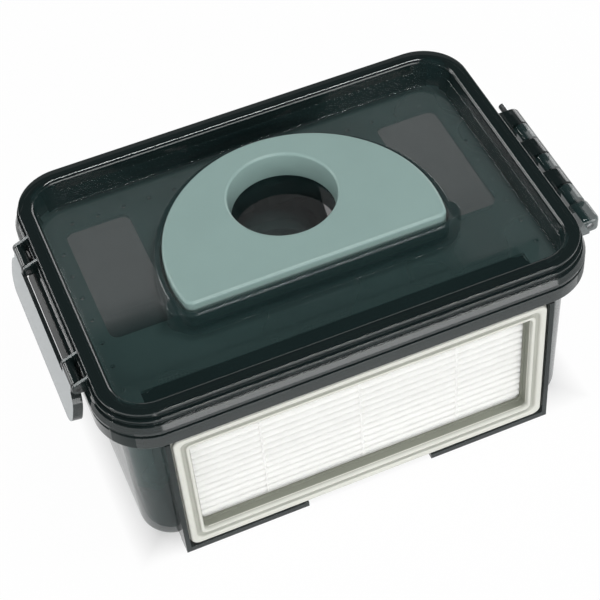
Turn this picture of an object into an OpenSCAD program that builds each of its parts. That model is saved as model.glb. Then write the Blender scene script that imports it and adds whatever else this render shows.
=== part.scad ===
// Filter box of a canister vacuum cleaner: clear tub, hinged lid with an inlet pad, side latch
// and a pleated cassette filter that slides out of a holder in the front.
// X runs from the latch to the hinge, Y from the front to the back, Z up from the table.

/* [Rim] */
// Width of the rim, latch side to hinge side
rim_w = 260; // [250:1:300]
// Depth of the rim, front to back
rim_d = 180; // [165:1:215]
// Corner radius of the rim
rim_r = 29; // [24:0.5:34]

/* [Tub] */
// Height of the rim flange's top face above the table
tub_h = 103.5; // [101:0.5:125]
// Height of the flange's outer face
flange_h = 9.5; // [7:0.5:12]
// Thickness of the flange and of its outer face
flange_t = 2.2; // [1.6:0.1:3]
// Distance from the flange's face in to the wall's outer face
wall_in = 9.5; // [8.5:0.25:11]
// Thickness of the tub's wall
wall_t = 2.5; // [1.6:0.1:3]
// How far the wall leans in at the bottom
wall_lean = 1.5; // [0.5:0.1:3]
// Thickness of the floor
floor_t = 2.2; // [1.6:0.1:3]
// Radius of the rounded edge round the bottom
bottom_r = 10; // [5:0.5:12]
// Distance from the flange's face in to the upright lip that the gasket sits over
lip_in = 5; // [4.6:0.1:5.4]
// Thickness of the upright lip
lip_t = 2.4; // [1.8:0.1:2.6]
// Height of the upright lip above the flange
lip_h = 5.8; // [4.5:0.1:6.5]
// Thickness of the ledge that carries the separator insert
ledge_t = 2.5; // [1.6:0.1:3.5]

/* [Lid] */
// Overall height of the lid's rim
lid_h = 13; // [12.5:0.25:15]
// Height of each of the two steps in the lid's outer face
step_h = 4.3; // [3.5:0.1:4.8]
// Width of each of the two steps
step_in = 1.6; // [1:0.1:1.8]
// Width of the flat top of the lid's rim
land_w = 5.6; // [4.5:0.1:6.5]
// Distance from the skirt's face in to the edge of the recessed panel
panel_in = 14.5; // [13.5:0.25:17]
// How far the panel lies below the rim's top
panel_drop = 16; // [14:0.25:16.5]
// Thickness of the lid
lid_t = 2.4; // [1.8:0.1:2.6]
// Gap between the flange and the lid's skirt
lid_gap = 0.5; // [0.3:0.1:1]

/* [Inlet pad] */
// Radius of the pad's round side
pad_r = 72.3; // [66:0.5:76]
// Distance from the centre of the round side to the straight front side
pad_cut = 19; // [12:0.5:24]
// Height of the pad
pad_h = 16.6; // [12:0.2:20]
// Radius of the pad's front corners
pad_corner = 5; // [3:0.5:8]
// Distance of the pad to the right of the lid's middle
pad_x = 1; // [-3:0.5:3]
// Distance from the lid's middle forward to the centre of the round side
pad_y = 13.5; // [8:0.5:16]
// Radius of the port through the pad
port_r = 27.5; // [22:0.5:30]
// Distance from the centre of the round side back to the port
port_back = 30.5; // [25:0.5:34]
// Height of the collar round the pad, above the panel
collar_h = 12.5; // [8:0.5:14]
// Gap between the pad and the collar
pad_gap = 1.5; // [0.5:0.1:3]
// Thickness of the collar's wall
collar_t = 3.2; // [2:0.1:4]
// Radius of the round lug at each end of the collar
collar_lug_r = 7; // [5:0.5:8]

/* [Inlet tube] */
// Thickness of the inlet tube's wall
tube_t = 2; // [1.5:0.1:3]
// Length of the inlet tube below the lid's panel
tube_l = 11; // [8:0.5:16]
// Width of the flange at the tube's top
tube_flange_w = 4; // [3:0.5:5]
// Thickness of that flange
tube_flange_t = 1.5; // [1:0.1:2.5]

/* [Hinge] */
// Distance from the flange's face out to the hinge pin
pin_out = 8.5; // [8:0.1:10]
// Distance of the hinge pin below the flange's top face
pin_down = 2.3; // [1:0.1:2.8]
// Radius of the hinge pin
pin_r = 2; // [1.5:0.1:2.5]
// Outer radius of the hinge knuckles and hooks
knuckle_r = 5.6; // [4.8:0.1:6]
// Length of each knuckle and hook with its gap
knuckle_l = 12.4; // [10:0.1:14]
// Position of the middle of the hinge, towards the back
hinge_y = -9; // [-12:0.5:0]
// How far the pin's back end stands out
pin_stub = 9; // [4:0.5:12]

/* [Latch] */
// Position of the middle of the latch, towards the back
latch_y = -2.5; // [-6:0.5:4]
// Length of the flap
flap_l = 105; // [104:1:114]
// Radius of the flap's corners
flap_corner = 9.5; // [4:0.5:10.5]
// Distance from one pair of ears to the other, middle to middle
ear_pitch = 82.5; // [76:0.5:84]
// Outside width of a pair of ears
ear_pair = 19; // [16:0.5:22]
// Thickness of an ear
ear_t = 2.2; // [1.5:0.1:3]
// Distance from the flange's face out to the flap's pins
flap_pin_out = 2.6; // [2.4:0.1:2.8]
// Height of the flap's pins above the flange's top face
flap_pin_up = 7; // [6.5:0.1:7.5]
// Radius of the flap's pins
flap_pin_r = 1.5; // [1:0.1:1.6]
// Outer radius of the ears
ear_r = 3; // [2.7:0.1:3.1]
// Lean of the flap away from the tub
flap_lean = 11.3; // [11:0.1:13]
// Height of the flap's plate
flap_h = 22.5; // [22:0.1:32]
// Thickness of the flap's plate
flap_t = 2.2; // [1.6:0.1:2.4]
// Length of the catch
catch_l = 58; // [40:1:60]
// How far the catch stands out of the flange
catch_out = 3; // [2.6:0.1:3.1]
// Height of the catch
catch_h = 5; // [4.6:0.1:5.2]

/* [Cassette] */
// Width of the cassette filter
cassette_w = 200; // [180:1:204]
// Depth of the cassette filter, front to back
cassette_d = 31; // [28:0.5:34]
// Thickness of the cassette's frame
frame_t = 2.5; // [2:0.1:3.5]
// Width of the border that the face seal covers
border_w = 9; // [8.4:0.1:11]
// Distance from the seal's front back to the pleats
media_back = 8; // [7:0.5:10]
// Number of pleats
pleats = 17; // [8:1:18]
// Thickness of the pleated paper
paper_t = 0.8; // [0.5:0.05:1.1]
// Distance between the lines of glue
glue_pitch = 53.5; // [40:0.5:60]
// Position of the cassette's middle, towards the hinge
bay_x = -1.2; // [-4:0.2:4]

/* [Holder and insert] */
// Thickness of the holder's side walls
holder_t = 2.6; // [2:0.1:3.5]
// Height of the rail under the cassette's front
rail_h = 3.4; // [2.8:0.1:4.5]
// Width of the finger notch in that rail
notch_w = 70; // [40:1:110]
// Depth of the finger notch
notch_d = 6; // [4:0.5:7]
// Depth of the holder's roof behind the rim
roof_d = 26.3; // [22:0.5:30]
// Thickness of the roof and of the insert's plate
plate_t = 2; // [1.6:0.1:2.2]
// Radius of the roof's back corners
roof_r = 8; // [4:0.5:10]
// Width of the air space behind the cassette
air_gap = 8; // [6:0.5:14]
// Thickness of the insert's partition wall
partition_t = 2; // [1.5:0.1:3]
// Number of windows in the partition
windows = 5; // [3:1:7]
// Bar between two windows
window_bar = 9.5; // [6:0.5:14]
// Radius of the windows' corners
window_r = 6; // [3:0.5:8]
// Distance between the small holes round the insert
hole_pitch = 14.4; // [10:0.2:20]
// Radius of the small holes
hole_r = 1.3; // [0.8:0.1:2]
// Width of the large openings beside the inlet
side_open_w = 35; // [24:0.5:38]

/* [Clearances] */
// Clearance between pieces that move or lift out
gap = 0.3; // [0.25:0.05:0.5]
// Radial clearance of a pin in its bore
pin_gap = 0.05; // [0.02:0.01:0.1]

/* [Hidden] */
$fn = 64;
step = 0.01;

// Heights
flange_z = tub_h - flange_h;
ledge_z = flange_z;
lip_z = tub_h + lip_h;
lid_z = tub_h + lid_gap;
lid_top = lid_z + lid_h;
panel_z = lid_top - panel_drop;
panel_under = panel_z - lid_t;

// Insets from the flange's face
wall_out_low = wall_in + wall_lean;
wall_in_top = wall_in + wall_t;
land_out = 2 * step_in;
land_in = land_out + land_w;
lid_fillet = 3.2;
edge_soft = 0.8;

// Inlet
pad_cy = -pad_y;
port_y = pad_cy + port_back;
pad_chord = sqrt(pad_r * pad_r - pad_cut * pad_cut);
tube_in = port_r + 0.5;
tube_out = tube_in + tube_t;
tube_flange_r = tube_out + tube_flange_w;
lock_r = tube_out + 4;
lock_h = 2;
inlet_hole_r = lock_r + 1.6;
ring_seal_w = 4.5;

// Hinge
pin_x = rim_w / 2 + pin_out;
pin_z = tub_h - pin_down;
knuckle_side = 0.4;
hinge_top = hinge_y + 3.25 * knuckle_l;
block_l = 1.25 * knuckle_l;
block_y = hinge_top - 6 * knuckle_l - block_l;
block_h = knuckle_r * 2;

// Latch
flap_pin_x = -rim_w / 2 - flap_pin_out;
flap_pin_z = tub_h + flap_pin_up;
catch_x = -rim_w / 2 - catch_out;
lug_r = ear_r;
lug_gap = 0.4;
lug_l = ear_pair - 2 * ear_t - 2 * lug_gap;
arm_l = lug_l - 0.6;
flap_out = lug_r - 0.2;
flap_in = flap_t - flap_out;
flap_top = ear_r + 0.3;
flap_foot = flap_top + flap_h;
flap_side = 2.8;
hook_in = 1.7;
hook_z = -flap_pin_up - catch_h - 0.3;
hook_h = 2.4;
hook_l = catch_l - 6;

// Cassette
rail_z = 0.3;
cassette_z = rail_z + rail_h + gap;
cassette_h = ledge_z - gap - cassette_z;
front_y = -rim_d / 2 + 0.2;
seal_t = 2.1;
frame_front = front_y + seal_t;
media_y = front_y + media_back;
grid_t = 2.5;
rear_seal_t = 1.5;
cassette_back = front_y + cassette_d;
pleat_pitch = (cassette_h - 2 * frame_t - 0.6) / pleats;
media_end = cassette_back - grid_t - rear_seal_t;
paper_deep = paper_t * (media_end - media_y) / (pleat_pitch / 2) * 0.75;
glue_r = 1;

// Holder and insert
bay_in = cassette_w / 2 + 0.4;
bay_out = bay_in + holder_t;
stop_y = cassette_back + gap;
stop_t = 2;
stop_w = 6;
partition_y = stop_y + stop_t + air_gap;
roof_y0 = -rim_d / 2 + lip_in + lip_t + gap;
roof_y1 = roof_y0 + roof_d;
insert_in = lip_in + lip_t + 0.6;
roof_clear = 0.4;
partition_half = rim_w / 2 - wall_in_top - wall_lean - 1;
window_w = (2 * bay_in - 0.8 - (windows - 1) * window_bar) / windows;
window_z0 = 14;
window_z1 = ledge_z - 3;
screen_t = 0.6;
hole_x = rim_w / 2 - insert_in - 15.4;
hole_y = rim_d / 2 - insert_in - 16.7;
open_front = -19;
open_back = hole_y - 5;
open_r = 5;
deflector_r = 38;
deflector_w = 2 * tube_out + 4;

// Rounded rectangle about the origin
module rounded(w, d, r) {
    square([w - 2 * r, d], center = true);
    square([w, d - 2 * r], center = true);
    for (x = [-1, 1], y = [-1, 1])
        translate([x * (w / 2 - r), y * (d / 2 - r)]) circle(r);
}

// Carries a section round a rounded rectangle; the section's x is the inset and its y the height
module ring(w, d, r) {
    for (turn = [0, 180]) {
        rotate([0, 0, turn]) translate([-(w / 2 - r), -d / 2, 0])
            rotate([90, 0, 90]) linear_extrude(w - 2 * r) children();
        rotate([0, 0, turn + 90]) translate([-(d / 2 - r), -w / 2, 0])
            rotate([90, 0, 90]) linear_extrude(d - 2 * r) children();
    }
    for (corner = [[1, 1, 0], [-1, 1, 90], [-1, -1, 180], [1, -1, 270]])
        translate([corner[0] * (w / 2 - r), corner[1] * (d / 2 - r), 0])
            rotate([0, 0, corner[2]]) rotate_extrude(angle = 90)
                translate([r, 0]) mirror([1, 0]) children();
}

// Plate with rounded corners, inset from the rim's outline
module rim_plate(inset, z0, z1) {
    translate([0, 0, z0]) linear_extrude(z1 - z0)
        rounded(rim_w - 2 * inset, rim_d - 2 * inset, rim_r - inset);
}

// Bar along Y between two places
module bar_y(x0, x1, y0, y1, z0, z1) {
    translate([x0, y0, z0]) cube([x1 - x0, y1 - y0, z1 - z0]);
}

// Cylinder along Y
module rod_y(x, y0, y1, z, r) {
    translate([x, y1, z]) rotate([90, 0, 0]) cylinder(h = y1 - y0, r = r);
}

// Plan outline of the inlet pad, grown by a margin
module pad_outline(grow) {
    r = pad_r + grow;
    c = pad_corner + grow;
    cut = pad_cut + grow;
    corner_x = sqrt(pow(r - c, 2) - pow(cut - c, 2));
    translate([pad_x, pad_cy]) {
        difference() {
            circle(r, $fn = 128);
            translate([-2 * r, -3 * r]) square([4 * r, 3 * r - cut + c]);
        }
        translate([-corner_x, -cut]) square([2 * corner_x, c + step]);
        for (s = [-1, 1]) translate([s * corner_x, -cut + c]) circle(c);
    }
}

// Section of the tub's wall: leaning wall with a rounded foot
module wall_section() {
    lean = wall_lean / (ledge_z - bottom_r);
    difference() {
        union() {
            polygon([[wall_out_low, bottom_r], [wall_in, ledge_z], [wall_in_top, ledge_z],
                [wall_out_low + wall_t, bottom_r]]);
            translate([wall_out_low + bottom_r, bottom_r]) circle(bottom_r);
        }
        translate([wall_out_low + bottom_r, bottom_r]) circle(bottom_r - wall_t);
        translate([wall_out_low + wall_t, bottom_r]) square([2 * bottom_r, bottom_r]);
        translate([wall_out_low + bottom_r, -step]) square([2 * bottom_r, 2 * bottom_r]);
    }
}

// Section of the rim: ledge, upright lip and hanging flange
module rim_section() {
    translate([lip_in, ledge_z - ledge_t]) square([wall_in_top - lip_in, ledge_t]);
    translate([lip_in, ledge_z - ledge_t]) square([lip_t, lip_z - ledge_z + ledge_t]);
    translate([0, tub_h - flange_t]) square([lip_in + lip_t, flange_t]);
    translate([0, flange_z]) square([flange_t, flange_h]);
}

// Hinge knuckle k of the tub or hook k of the lid, counted from the back
function knuckle_y1(k) = hinge_top - k * knuckle_l - knuckle_side / 2;
function knuckle_y0(k) = hinge_top - (k + 1) * knuckle_l + knuckle_side / 2;

module tub() {
    color("SlateGray", 0.5) difference() {
        union() {
            ring(rim_w, rim_d, rim_r) wall_section();
            ring(rim_w, rim_d, rim_r) rim_section();
            rim_plate(wall_out_low + bottom_r - 1, 0, floor_t);
            // Catch for the latch
            bar_y(catch_x, -rim_w / 2 + flange_t, latch_y - catch_l / 2,
                latch_y + catch_l / 2, tub_h - catch_h, tub_h);
            // Knuckles and the end block of the hinge
            for (k = [1, 3, 5]) {
                rod_y(pin_x, knuckle_y0(k), knuckle_y1(k), pin_z, knuckle_r);
                bar_y(rim_w / 2 - flange_t, pin_x, knuckle_y0(k), knuckle_y1(k),
                    pin_z - knuckle_r, tub_h - 0.5);
            }
            bar_y(rim_w / 2 - flange_t, pin_x, block_y, block_y + block_l,
                pin_z - knuckle_r, tub_h - 0.5);
            bar_y(pin_x - knuckle_r, pin_x + knuckle_r, block_y, block_y + block_l,
                pin_z - knuckle_r, pin_z + knuckle_r - 1);
        }
        // Opening for the filter holder
        translate([bay_x - bay_out - gap, -rim_d / 2 - 1, floor_t])
            cube([2 * (bay_out + gap), wall_in_top + bottom_r + wall_lean + 1,
                ledge_z - floor_t]);
        // Bore for the hinge pin
        rod_y(pin_x, block_y - 1, hinge_top + 1, pin_z, pin_r);
    }
}

module filter_holder() {
    side_z = ledge_z + plate_t;
    color("DarkSlateGray", 0.8) difference() {
        union() {
            for (s = [-1, 1]) translate([bay_x + s * (bay_in + holder_t / 2), 0, 0]) {
                bar_y(-holder_t / 2, holder_t / 2, -rim_d / 2, partition_y - gap, floor_t,
                    ledge_z - gap);
                bar_y(-holder_t / 2, holder_t / 2, -rim_d / 2,
                    -rim_d / 2 + wall_in_top - wall_t - gap, rail_z, floor_t);
                bar_y(-holder_t / 2, holder_t / 2, roof_y0, roof_y1, ledge_z - gap - step,
                    ledge_z);
            }
            // Front rail and floor
            bar_y(bay_x - bay_out, bay_x + bay_out, -rim_d / 2,
                -rim_d / 2 + wall_in - gap, rail_z, rail_z + rail_h);
            bar_y(bay_x - bay_out, bay_x + bay_out, -rim_d / 2 + wall_in - gap - step,
                partition_y - gap, floor_t, rail_z + rail_h);
            // Roof with rounded back corners
            translate([bay_x, roof_y0, ledge_z]) linear_extrude(plate_t) {
                translate([-bay_out, 0]) square([2 * bay_out, roof_d - roof_r]);
                translate([-bay_out + roof_r, 0]) square([2 * (bay_out - roof_r), roof_d]);
                for (s = [-1, 1]) translate([s * (bay_out - roof_r), roof_d - roof_r])
                    circle(roof_r);
            }
            // Stops behind the cassette
            difference() {
                bar_y(bay_x - bay_out, bay_x + bay_out, stop_y, stop_y + stop_t, floor_t,
                    ledge_z);
                bar_y(bay_x - bay_in + stop_w, bay_x + bay_in - stop_w, stop_y - 1,
                    stop_y + stop_t + 1, rail_z + rail_h + stop_w, ledge_z - stop_w);
            }
        }
        // Finger notch
        bar_y(bay_x - notch_w / 2, bay_x + notch_w / 2, -rim_d / 2 - 1,
            -rim_d / 2 + notch_d, rail_z - 1, rail_z + rail_h + 1);
    }
}

// Places each window's centre line
module at_windows() {
    for (k = [0 : windows - 1])
        translate([bay_x + (k - (windows - 1) / 2) * (window_w + window_bar), 0, 0]) children();
}

// One window of the partition, as a solid between two planes
module window(y0, y1) {
    translate([0, y1, (window_z0 + window_z1) / 2]) rotate([90, 0, 0])
        linear_extrude(y1 - y0) rounded(window_w, window_z1 - window_z0, window_r);
}

module separator_insert() {
    color("SlateGray", 0.6) difference() {
        union() {
            difference() {
                rim_plate(insert_in, ledge_z, ledge_z + plate_t);
                bar_y(bay_x - bay_out - roof_clear, bay_x + bay_out + roof_clear,
                    -rim_d / 2, roof_y1 + roof_clear, ledge_z - 1, ledge_z + plate_t + 1);
            }
            // Partition wall with its cut-off lower corners
            translate([0, partition_y + partition_t, 0]) rotate([90, 0, 0])
                linear_extrude(partition_t)
                    polygon([[-partition_half, bottom_r + 2], [-partition_half, ledge_z + step],
                        [partition_half, ledge_z + step], [partition_half, bottom_r + 2],
                        [partition_half - bottom_r, floor_t + gap],
                        [-partition_half + bottom_r, floor_t + gap]]);
        }
        at_windows() window(partition_y - 1, partition_y + partition_t + 1);
        // Passage for the inlet tube
        translate([pad_x, port_y, ledge_z - 1]) cylinder(h = plate_t + 2, r = inlet_hole_r);
        // Large openings beside the inlet
        for (s = [-1, 1])
            translate([s * (hole_x - side_open_w / 2), (open_front + open_back) / 2,
                ledge_z - 1])
                linear_extrude(plate_t + 2)
                    rounded(side_open_w, open_back - open_front, open_r);
        // Small holes along the back and the sides
        for (x = [-7 : 7]) translate([x * hole_pitch, hole_y, ledge_z - 1])
            cylinder(h = plate_t + 2, r = hole_r);
        for (s = [-1, 1], y = [1 : 7])
            translate([s * (hole_x + 5), hole_y - 3 - y * (hole_pitch + 1.8), ledge_z - 1])
                cylinder(h = plate_t + 2, r = hole_r);
    }
}

module window_screens() {
    middle = partition_y + partition_t / 2;
    color("Gainsboro", 0.8) at_windows() window(middle - screen_t / 2, middle + screen_t / 2);
}

module inlet_ring_seal() {
    color("Black") translate([pad_x, port_y, ledge_z + plate_t]) difference() {
        cylinder(h = panel_under - gap - ledge_z - plate_t, r = inlet_hole_r + ring_seal_w);
        translate([0, 0, -1]) cylinder(h = 20, r = inlet_hole_r);
    }
}

module inlet_deflector() {
    color("SlateGray", 0.6)
        translate([pad_x - deflector_w / 2, port_y + inlet_hole_r + 1 - deflector_r, ledge_z])
            rotate([90, 0, 90]) linear_extrude(deflector_w) difference() {
                circle(deflector_r + plate_t, $fn = 96);
                circle(deflector_r, $fn = 96);
                translate([-2 * deflector_r, 0]) square(4 * deflector_r);
                translate([-2 * deflector_r, -2 * deflector_r]) square(2 * deflector_r);
            }
}

module hinge_pin() {
    color("Silver") rod_y(pin_x, block_y + 1, hinge_top + pin_stub, pin_z, pin_r);
}

// Section of the lid's rim: two steps outside, flat top, slope down to the panel
module lid_section() {
    s1 = lid_z + step_h;
    s2 = lid_z + 2 * step_h;
    roof = lid_top - lid_t;
    difference() {
        polygon([[0, lid_z], [0, s1 - edge_soft], [edge_soft, s1], [step_in, s1],
            [step_in, s2 - edge_soft], [step_in + edge_soft, s2], [land_out, s2],
            [land_out, lid_top - edge_soft], [land_out + edge_soft, lid_top],
            [land_in, lid_top], [land_in + lid_fillet * 0.7, lid_top - lid_fillet * 0.3],
            [land_in + lid_fillet, lid_top - lid_fillet],
            [panel_in, panel_z], [panel_in + 1, panel_z], [panel_in + 1, panel_under],
            [panel_in - 1.5, panel_under], [land_in + 0.6, roof - lid_fillet],
            [land_in, roof], [land_out + 2, roof], [land_out + 2, s2 - flange_t],
            [step_in + 2, s2 - flange_t], [step_in + 2, s1 - flange_t],
            [2, s1 - flange_t], [2, lid_z]]);
    }
}

// Side view of one ear of the latch, from the lid's top edge out round the flap's pin
module ear_section() {
    edge = -rim_w / 2;
    translate([flap_pin_x, flap_pin_z]) circle(ear_r);
    polygon([[flap_pin_x, flap_pin_z - ear_r], [flap_pin_x, flap_pin_z],
        [flap_pin_x - ear_r * 0.48, flap_pin_z + ear_r * 0.877],
        [edge + land_out + 0.2, lid_top - edge_soft], [edge + land_out + 1, lid_top - edge_soft],
        [edge + land_out + 1, lid_z + 2 * step_h], [edge + step_in + 1.5, lid_z + 2 * step_h - 1],
        [edge + step_in + 1.5, flap_pin_z - ear_r]]);
}

module lid() {
    arm_top = lid_z + step_h;
    color("SlateGray", 0.5) difference() {
        union() {
            ring(rim_w, rim_d, rim_r) lid_section();
            rim_plate(panel_in, panel_under, panel_z);
            // Collar round the pad
            translate([0, 0, panel_z]) linear_extrude(collar_h) difference() {
                union() {
                    pad_outline(pad_gap + collar_t);
                    for (s = [-1, 1])
                        translate([pad_x + s * (pad_chord + collar_t), pad_cy - pad_cut + 6])
                            circle(collar_lug_r);
                }
                pad_outline(pad_gap);
            }
            // Hooks of the hinge
            for (k = [0, 2, 4]) {
                rod_y(pin_x, knuckle_y0(k), knuckle_y1(k), pin_z, knuckle_r);
                bar_y(rim_w / 2 - 1, pin_x, knuckle_y0(k), knuckle_y1(k), lid_z + 0.4,
                    min(arm_top - edge_soft, pin_z + knuckle_r));
            }
            // Ears of the latch
            for (pair = [-1, 1], side = [-1, 1])
                translate([0, latch_y + pair * ear_pitch / 2
                    + side * (ear_pair - ear_t) / 2 + ear_t / 2, 0])
                    rotate([90, 0, 0]) linear_extrude(ear_t) ear_section();
        }
        // Seat of the inlet tube
        translate([pad_x, port_y, panel_under - 1]) cylinder(h = lid_t + 2, r = tube_out);
        // Bore for the hinge pin
        rod_y(pin_x, block_y - 1, hinge_top + 1, pin_z, pin_r + pin_gap);
        // Mouths of the hooks
        for (k = [0, 2, 4])
            bar_y(pin_x - pin_r * 0.7, pin_x + pin_r * 0.7, knuckle_y0(k) - 0.1,
                knuckle_y1(k) + 0.1, pin_z - 2 * knuckle_r, pin_z);
        // Bores for the flap's pins
        for (pair = [-1, 1]) translate([0, latch_y + pair * ear_pitch / 2, 0])
            rod_y(flap_pin_x, -ear_pair, ear_pair, flap_pin_z, flap_pin_r);
    }
}

module lid_gasket() {
    color("Black") ring(rim_w, rim_d, rim_r)
        translate([land_out + 2, lip_z + gap])
            square([land_w - 2, lid_top - lid_t - lip_z - gap]);
}

module inlet_seal() {
    color([0.58, 0.67, 0.65]) translate([0, 0, panel_z]) difference() {
        linear_extrude(pad_h) pad_outline(0);
        translate([pad_x, port_y, -1]) cylinder(h = pad_h + 2, r = port_r);
        translate([pad_x, port_y, -1]) cylinder(h = tube_flange_t + 1, r = tube_flange_r);
    }
}

module inlet_tube() {
    color("SlateGray", 0.6) translate([pad_x, port_y, 0]) difference() {
        union() {
            translate([0, 0, panel_under - tube_l]) cylinder(h = tube_l + lid_t, r = tube_out);
            translate([0, 0, panel_z]) cylinder(h = tube_flange_t, r = tube_flange_r);
        }
        translate([0, 0, panel_under - tube_l - 1]) cylinder(h = tube_l + lid_t + 10, r = tube_in);
    }
}

module tube_lock_ring() {
    color("DimGray") translate([pad_x, port_y, panel_under - lock_h]) difference() {
        cylinder(h = lock_h, r = lock_r);
        translate([0, 0, -1]) cylinder(h = lock_h + 2, r = tube_out);
    }
}

// Outline of the flap's plate, grown by a margin, with its pins at height zero
module flap_outline(grow) {
    translate([0, -flap_top - flap_h / 2])
        rounded(flap_l + 2 * grow, flap_h + 2 * grow, flap_corner + grow);
}

module latch_flap() {
    color([0.8, 0.84, 0.83], 0.6) translate([flap_pin_x, latch_y, flap_pin_z]) difference() {
        union() {
            rotate([0, flap_lean, 0]) {
                translate([-flap_out, 0, 0]) rotate([90, 0, 90]) linear_extrude(flap_t)
                    flap_outline(0);
                // Wall round the two ends
                translate([flap_in - step, 0, 0]) rotate([90, 0, 90])
                    linear_extrude(flap_side + step) difference() {
                        flap_outline(0);
                        flap_outline(-1.8);
                        square([flap_l - 2 * flap_corner, 4 * flap_h], center = true);
                    }
                // Hook
                bar_y(flap_in - step, hook_in, -hook_l / 2, hook_l / 2, hook_z - hook_h,
                    hook_z);
                // Arms up to the pins
                for (pair = [-1, 1])
                    bar_y(-flap_out, flap_in, pair * ear_pitch / 2 - arm_l / 2,
                        pair * ear_pitch / 2 + arm_l / 2, -flap_top - 1, 0);
            }
            for (pair = [-1, 1])
                rod_y(0, pair * ear_pitch / 2 - lug_l / 2, pair * ear_pitch / 2 + lug_l / 2,
                    0, lug_r);
        }
        for (pair = [-1, 1]) translate([0, pair * ear_pitch / 2, 0])
            rod_y(0, -ear_pair, ear_pair, 0, flap_pin_r + pin_gap);
    }
}

module latch_pins() {
    color("Silver") for (pair = [-1, 1])
        translate([flap_pin_x, latch_y + pair * ear_pitch / 2, flap_pin_z])
            rod_y(0, -ear_pair / 2, ear_pair / 2, 0, flap_pin_r);
}

// Turns a plan drawing upright so that its height runs towards the front
module facing_front(y) {
    translate([bay_x, y, cassette_z + cassette_h / 2]) rotate([90, 0, 0]) children();
}

// Rectangular frame of the cassette between two planes
module cassette_ring(y0, y1, inset, width, r) {
    facing_front(y1) linear_extrude(y1 - y0) difference() {
        rounded(cassette_w - 2 * inset, cassette_h - 2 * inset, r);
        rounded(cassette_w - 2 * (inset + width), cassette_h - 2 * (inset + width),
            max(r - width, 0.5));
    }
}

module cassette_frame() {
    color("WhiteSmoke") {
        cassette_ring(frame_front, cassette_back - rear_seal_t, 0, frame_t, 4);
        cassette_ring(frame_front, frame_front + 2.5, 1, border_w - 1, 4);
        cassette_ring(frame_front + 2.4, media_y, border_w - 2, 2, 3);
    }
}

module cassette_front_seal() {
    color("Ivory") {
        cassette_ring(frame_front - 0.8, frame_front, 0.6, border_w - 1.2, 4);
        cassette_ring(front_y, frame_front - 0.7, 1.4, 2.4, 4);
        cassette_ring(front_y, frame_front - 0.7, border_w - 2.8, 2.2, 3.5);
    }
}

module cassette_media() {
    half = cassette_h / 2 - frame_t - 0.3;
    front = [for (k = [0 : 2 * pleats])
        [k % 2 == 0 ? media_y : media_end - paper_deep, -half + k * pleat_pitch / 2]];
    back = [for (k = [2 * pleats : -1 : 0])
        [k % 2 == 0 ? media_y + paper_deep : media_end, -half + k * pleat_pitch / 2]];
    color("White")
        translate([bay_x - cassette_w / 2 + frame_t, 0, cassette_z + cassette_h / 2])
            rotate([90, 0, 90]) linear_extrude(cassette_w - 2 * frame_t)
                polygon(concat(front, back));
}

module glue_beads() {
    color("Ivory") for (k = [-1 : 1])
        translate([bay_x + k * glue_pitch, media_y, cassette_z + border_w])
            linear_extrude(cassette_h - 2 * border_w) difference() {
                circle(glue_r, $fn = 24);
                translate([-2 * glue_r, 0]) square(4 * glue_r);
            }
}

module cassette_rear_grid() {
    color("WhiteSmoke") {
        cassette_ring(media_end, media_end + grid_t, frame_t, 4, 2);
        for (k = [-1 : 1]) translate([bay_x + k * glue_pitch - 1, media_end,
            cassette_z + frame_t + 3]) cube([2, grid_t, cassette_h - 2 * frame_t - 6]);
        for (k = [-1, 1]) translate([bay_x - cassette_w / 2 + frame_t + 3, media_end,
            cassette_z + cassette_h / 2 + k * cassette_h / 6 - 1])
            cube([cassette_w - 2 * frame_t - 6, grid_t, 2]);
    }
}

module cassette_rear_seal() {
    color("DimGray") cassette_ring(cassette_back - rear_seal_t, cassette_back, 0.5, 5, 3.5);
}

tub();
filter_holder();
separator_insert();
window_screens();
inlet_ring_seal();
inlet_deflector();
hinge_pin();
lid();
lid_gasket();
inlet_seal();
inlet_tube();
tube_lock_ring();
latch_flap();
latch_pins();
cassette_frame();
cassette_front_seal();
cassette_media();
glue_beads();
cassette_rear_grid();
cassette_rear_seal();
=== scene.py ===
"""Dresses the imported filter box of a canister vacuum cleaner.

It gives the box finer meshes, materials, a floor, lamps and a camera."""

import math

import bmesh
import bpy
from bpy.props import FloatProperty, FloatVectorProperty, IntProperty, PointerProperty
from mathutils import Matrix, Vector


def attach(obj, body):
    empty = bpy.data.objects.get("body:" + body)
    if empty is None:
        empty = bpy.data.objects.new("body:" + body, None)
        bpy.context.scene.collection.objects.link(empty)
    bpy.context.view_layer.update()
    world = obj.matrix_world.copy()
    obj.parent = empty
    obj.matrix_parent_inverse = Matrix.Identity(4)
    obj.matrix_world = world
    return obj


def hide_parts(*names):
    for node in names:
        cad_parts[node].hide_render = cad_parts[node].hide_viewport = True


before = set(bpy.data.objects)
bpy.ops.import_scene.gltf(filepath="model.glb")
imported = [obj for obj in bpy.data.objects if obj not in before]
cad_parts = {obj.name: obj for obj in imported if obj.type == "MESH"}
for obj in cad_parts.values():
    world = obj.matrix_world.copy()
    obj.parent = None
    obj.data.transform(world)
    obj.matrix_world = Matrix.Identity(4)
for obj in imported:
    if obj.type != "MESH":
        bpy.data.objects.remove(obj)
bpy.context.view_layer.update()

bl_info = {
    "name": "Vacuum cleaner filter box",
    "version": (1, 0, 0),
    "blender": (4, 5, 0),
    "location": "View3D > Sidebar > Filter box",
    "description": "Dresses the packed filter box with finer meshes and materials",
    "category": "Object",
}

MM = 0.001
FINISHES = {}

# Where the tub's lugs and the lid's hooks start inside the rims, in millimetres
TUB_ROOT = 127.9
LID_ROOT = 129.0
# The ends of the cuts for the hinge pin along Y, and the radii of its holes
BORE_ENDS = (-60 * MM, 32 * MM)
TUB_BORE = 2.06 * MM
LID_BORE = 2.15 * MM

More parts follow.
